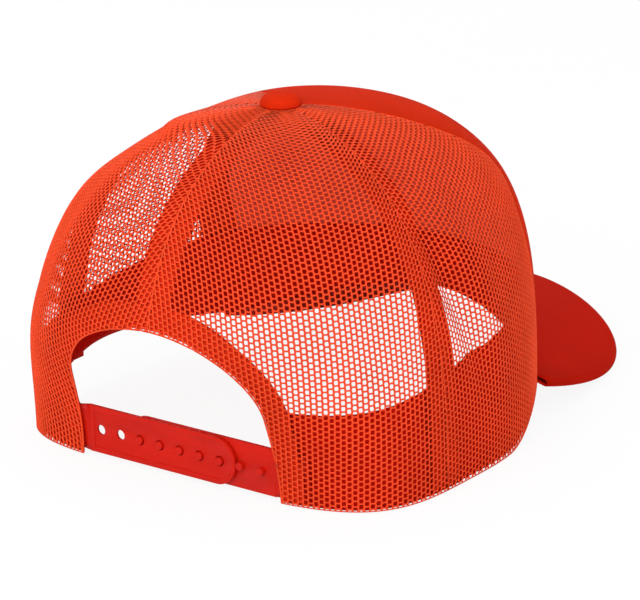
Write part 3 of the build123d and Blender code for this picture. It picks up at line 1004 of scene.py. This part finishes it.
@dataclass
class Bill:
    """Stiff bill with a top and an under cover of cloth over a board."""

    shape: CrownShape = SHAPE
    fullness: float = 2.5
    depth: float = 3.4
    cover: float = 0.7
    edge: float = 1.7
    tuck: float = 3.0
    board: float = 1.8
    board_depth: float = 0.8
    board_short: float = 0.07
    board_back: float = 1.5

    def build(self) -> None:
        """Make both covers and the board between them."""
        cloth = Cloth("bill_cloth", BILL_RED, 0.5, 0.5, 0.06, drift=0.05).material()
        for name, node, upper in (
            ("bill_top_cloth", "bill_top_cover", True),
            ("bill_under_cloth", "bill_under_cover", False),
        ):
            mesh = cloth_mesh(120, 44, self.face(upper), (215, 85), self.cover)
            piece = finish_piece(mesh, name, cloth, [node])
        board = Moulded("bill_board_plastic", linear(224, 220, 208), 0.5).material()
        mesh = cloth_mesh(90, 30, self.face(True, self.board_depth), (210, 82), self.board)
        finish_piece(mesh, "bill_board_sheet", board, ["bill_board"])

    def face(self, upper: bool, inset: float = 0.0) -> Callable[[np.ndarray, np.ndarray], np.ndarray]:
        """Outer face of one layer, from the crown to the bill's edge.

        Args:
            upper: Whether it is the top face.
            inset: Depth of the board's top under the bill's top, or 0 for a cover.

        Returns:
            A function that places points by their shares along and across the bill.
        """

        def place(u: np.ndarray, v: np.ndarray) -> np.ndarray:
            """Points of the cover."""
            shape = self.shape
            u = 0.5 + (u - 0.5) * (1 - self.board_short * inset)
            turn = pi * u
            power = 2 / self.fullness
            half = shape.bill_half - 2 * inset
            reach = shape.front + shape.bill_reach + shape.bill_corner - 2 * inset
            out = np.stack([half * np.abs(np.cos(turn)) ** power * np.sign(np.cos(turn)),
                            shape.bill_corner - reach * np.sin(turn) ** power], axis=1)
            limit = atan2(shape.bill_half - 2, shape.shift - shape.bill_corner)
            bearing = limit * (1 - 2 * u)
            tuck = self.tuck - self.board_back * inset
            base = shape.point(bearing, shape.rim(bearing, tuck), tuck)[:, :2]
            span = np.maximum(np.linalg.norm(out - base, axis=1), 0.5)
            share = 1 - (1 - v) ** 1.6
            plan = base + (out - base) * share[:, None]
            left = span * (1 - share)
            round_off = self.edge * (1 - np.sqrt(1 - (1 - np.minimum(1, left / self.edge)) ** 2))
            top = shape.bill_top(plan[:, 0], plan[:, 1])
            if inset:
                return np.stack([plan[:, 0], plan[:, 1], top - inset], axis=1)
            height = top - round_off if upper else top - self.depth + round_off
            return np.stack([plan[:, 0], plan[:, 1], height], axis=1)

        return place


@dataclass
class SnapStrap:
    """Moulded strap in two halves, each hinged on its sewn tab."""

    shape: CrownShape = SHAPE
    root: float = 42.6
    plane: float = 62.7
    middle: float = 10.6
    width: float = 17.6
    thick: float = 1.1
    tab_end: float = 57.0
    tab_depth: float = 1.65
    flex: float = 1.3
    lap: float = 2.2
    soften: float = 0.22

    def build(self) -> None:
        """Make both halves and their tabs."""
        plastic = Moulded("strap_plastic", STRAP_RED).material()
        for side, body in ((1, Body.HOLE_STRAP), (-1, Body.PEG_STRAP)):
            mesh = bmesh.new()
            mesh.from_mesh(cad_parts[body.value].data)
            bmesh.ops.scale(mesh, vec=(1 / MM,) * 3, verts=mesh.verts)
            bmesh.ops.remove_doubles(mesh, verts=mesh.verts, dist=0.002)
            bmesh.ops.dissolve_limit(mesh, angle_limit=radians(0.6), verts=mesh.verts, edges=mesh.edges)
            sharp = [edge for edge in mesh.edges
                     if edge.is_manifold and edge.calc_face_angle(0) > radians(50)]
            bmesh.ops.bevel(mesh, geom=sharp, offset=self.soften, offset_type="OFFSET", segments=2,
                            profile=0.5, affect="EDGES", clamp_overlap=True, material=-1)
            for edge in mesh.edges:
                edge.smooth = edge.calc_face_angle(0) < radians(32)
            finish_piece(mesh, f"{body.value}_moulding", plastic, [body.value], body)
            self.build_tab(side, body, plastic)

    def build_tab(self, side: int, body: Body, material: bpy.types.Material) -> None:
        """Make the sewn tab of one half, which bends where the strap swings.

        Args:
            side: 1 on the wearer's left, -1 on the right.
            body: Body of the half that it carries.
            material: The plastic.
        """

        def face(u: np.ndarray, v: np.ndarray) -> np.ndarray:
            """Outer face of the tab."""
            spots = []
            for across, up in zip(u, v):
                x = self.root - self.lap + (self.tab_end + self.lap - self.root) * across
                height = self.middle + self.width * (up - 0.5)
                turn = self.shape.bearing_at(side * x, height, self.tab_depth)
                sewn = self.shape.point(np.array([turn]), np.array([height]), self.tab_depth)[0]
                blend = min(1.0, max(0.0, (x - self.root - 0.8) / 2.6))
                blend = blend * blend * (3 - 2 * blend)
                strap_face = self.plane + self.thick / 2
                spots.append((side * x, sewn[1] * blend + strap_face * (1 - blend), height))
            return np.array(spots)

        mesh = cloth_mesh(30, 6, face, (self.tab_end - self.root, self.width), self.thick)
        piece = finish_piece(mesh, f"{body.value}_sewn_tab", material, [f"{body.value}_tab"], None)
        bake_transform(piece)


@dataclass
class Button:
    """Cloth-covered button on the crown's top."""

    shape: CrownShape = SHAPE
    radius: float = 7.7
    rise: float = 4.5
    fullness: float = 0.78

    def build(self) -> None:
        """Make the cover."""
        cloth = Cloth("button_cloth", linear(208, 42, 10), 0.42, 0.42, 0.05).material()
        mesh = bmesh.new()
        bmesh.ops.create_uvsphere(mesh, u_segments=64, v_segments=40, radius=1)
        bmesh.ops.bisect_plane(mesh, geom=mesh.faces[:] + mesh.edges[:] + mesh.verts[:], dist=0.001,
                               plane_co=(0, 0, 0), plane_no=(0, 0, 1), clear_inner=True)
        places = read_places(mesh)
        flat = np.hypot(places[:, 0], places[:, 1])
        turn = np.arctan2(places[:, 1], places[:, 0])
        out = self.radius * np.minimum(1, flat) ** self.fullness
        height = self.shape.top + self.rise * np.clip(places[:, 2], 0, 1) ** self.fullness
        across, along = out * np.cos(turn), self.shape.shift + out * np.sin(turn)
        set_places(mesh, np.stack([across, along, height], axis=1))
        keep_flat_map(mesh, read_places(mesh))
        rim = [edge for edge in mesh.edges if edge.is_boundary]
        bmesh.ops.holes_fill(mesh, edges=rim, sides=0)
        bmesh.ops.recalc_face_normals(mesh, faces=mesh.faces)
        finish_piece(mesh, "button_cloth_cover", cloth, ["button_cover"])


@dataclass
class Hidden:
    """Frame nodes that are shown as they are, with a finish of their own."""

    metal: tuple[float, float, float] = linear(205, 205, 208)

    def build(self) -> None:
        """Dress the metal parts."""
        metal = Metal("button_steel", self.metal).material()
        for node in ("button_core", "button_washer", "button_rivet"):
            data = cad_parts[node].data
            data.materials.clear()
            data.materials.append(metal)
            LOG.info("%s: dressed", node)


@dataclass
class Studio:
    """Camera, soft lamps, pale floor and backdrop."""

    azimuth: float = 218.08
    elevation: float = 18.89
    roll: float = -2.0
    distance: float = 1.46
    target: tuple[float, float, float] = (0.0, 0.0, 0.05)
    lens: float = 222.5
    shift: tuple[float, float] = (0.0563, -0.0028)
    ambient: float = 0.6

    def build(self) -> None:
        """Set up everything that isn't the cap."""
        self.place_camera()
        self.place_lamps()
        self.lay_floor()
        bpy.context.scene.view_settings.view_transform = "Standard"

    def place_camera(self) -> None:
        """Place the camera behind the cap's right side."""
        turn, lift, roll = radians(self.azimuth), radians(self.elevation), radians(self.roll)
        back = Vector((sin(turn) * cos(lift), -cos(turn) * cos(lift), sin(lift)))
        right = (-back).cross(Vector((0, 0, 1))).normalized()
        up = right.cross(-back)
        level = right * cos(roll) + up * sin(roll)
        upright = up * cos(roll) - right * sin(roll)
        data = bpy.data.cameras.new("camera")
        data.lens = self.lens
        data.sensor_width = 36
        data.shift_x, data.shift_y = self.shift
        data.clip_end = 20
        camera = bpy.data.objects.new("camera", data)
        pose = Matrix((level, upright, back)).transposed().to_4x4()
        pose.translation = Vector(self.target) + back * self.distance
        camera.matrix_world = pose
        bpy.context.scene.collection.objects.link(camera)
        bpy.context.scene.camera = camera

    def place_lamps(self) -> None:
        """Place soft lamps round the cap and set the plain backdrop."""
        for name, turn, lift, reach, size, power in (
            ("key_lamp", 190, 40, 1.3, 0.9, 9.2),
            ("fill_lamp", 262, 30, 1.4, 1.0, 4.0),
            ("top_lamp", 20, 74, 1.3, 1.0, 2.2),
            ("front_lamp", 60, 35, 1.4, 1.0, 3.0),
        ):
            data = bpy.data.lights.new(name, "AREA")
            data.size = size
            data.energy = power
            lamp = bpy.data.objects.new(name, data)
            where = Vector((sin(radians(turn)) * cos(radians(lift)), -cos(radians(turn)) * cos(radians(lift)),
                            sin(radians(lift)))) * reach
            lamp.matrix_world = Matrix.Translation(where) @ where.to_track_quat("Z", "Y").to_matrix().to_4x4()
            bpy.context.scene.collection.objects.link(lamp)
        world = bpy.data.worlds.new("backdrop")
        bpy.context.scene.world = world
        world.use_nodes = True
        tree = world.node_tree
        path = tree.nodes.new("ShaderNodeLightPath")
        seen = self.seen_directly(tree, path)
        level = tree.nodes.new("ShaderNodeMapRange")
        level.inputs["To Min"].default_value = self.ambient
        level.inputs["To Max"].default_value = 1.0
        tree.links.new(seen, level.inputs["Value"])
        tree.nodes["Background"].inputs["Color"].default_value = (1, 1, 1, 1)
        tree.links.new(level.outputs[0], tree.nodes["Background"].inputs["Strength"])

    @staticmethod
    def seen_directly(tree: bpy.types.NodeTree, path: bpy.types.Node) -> bpy.types.NodeSocket:
        """Add nodes that find the rays that should see the backdrop.

        Args:
            tree: Node tree to add them to.
            path: Its Light Path node.

        Returns:
            A socket that is one for a camera, glossy or transmission ray, else zero.
        """
        found = path.outputs["Is Camera Ray"]
        for name in ("Is Glossy Ray", "Is Transmission Ray"):
            either = tree.nodes.new("ShaderNodeMath")
            either.operation = "MAXIMUM"
            tree.links.new(found, either.inputs[0])
            tree.links.new(path.outputs[name], either.inputs[1])
            found = either.outputs[0]
        return found

    def lay_floor(self) -> None:
        """Lay the pale floor, which keeps the cap's shadow."""
        mesh = bmesh.new()
        bmesh.ops.create_grid(mesh, x_segments=1, y_segments=1, size=6)
        data = bpy.data.meshes.new("floor")
        mesh.to_mesh(data)
        mesh.free()
        floor = bpy.data.objects.new("floor", data)
        floor.location.z = -0.0004
        bpy.context.scene.collection.objects.link(floor)
        recipe = Recipe("floor_paper")
        recipe.shader.inputs["Base Color"].default_value = (0.92, 0.92, 0.92, 1)
        recipe.shader.inputs["Roughness"].default_value = 0.9
        recipe.shader.inputs["Specular IOR Level"].default_value = 0.1
        glow = recipe.add("ShaderNodeEmission", strength=1.0)
        mix = recipe.add("ShaderNodeMixShader")
        path = recipe.add("ShaderNodeLightPath")
        seen = self.seen_directly(recipe.tree, path)
        weight = recipe.sum("MULTIPLY", seen, 0.9)
        recipe.join(weight, mix.inputs[0])
        recipe.join(recipe.shader.outputs[0], mix.inputs[1])
        recipe.join(glow.outputs[0], mix.inputs[2])
        output = next(node for node in recipe.tree.nodes if node.type == "OUTPUT_MATERIAL")
        recipe.join(mix.outputs[0], output.inputs["Surface"])
        data.materials.append(recipe.material)


def main() -> None:
    """Build the cap and its studio."""
    logging.basicConfig(level=logging.INFO)
    for maker in (Studio(), Crown(), Bill(), SnapStrap(), Button(), Hidden()):
        maker.build()


if __name__ == "__main__":
    main()
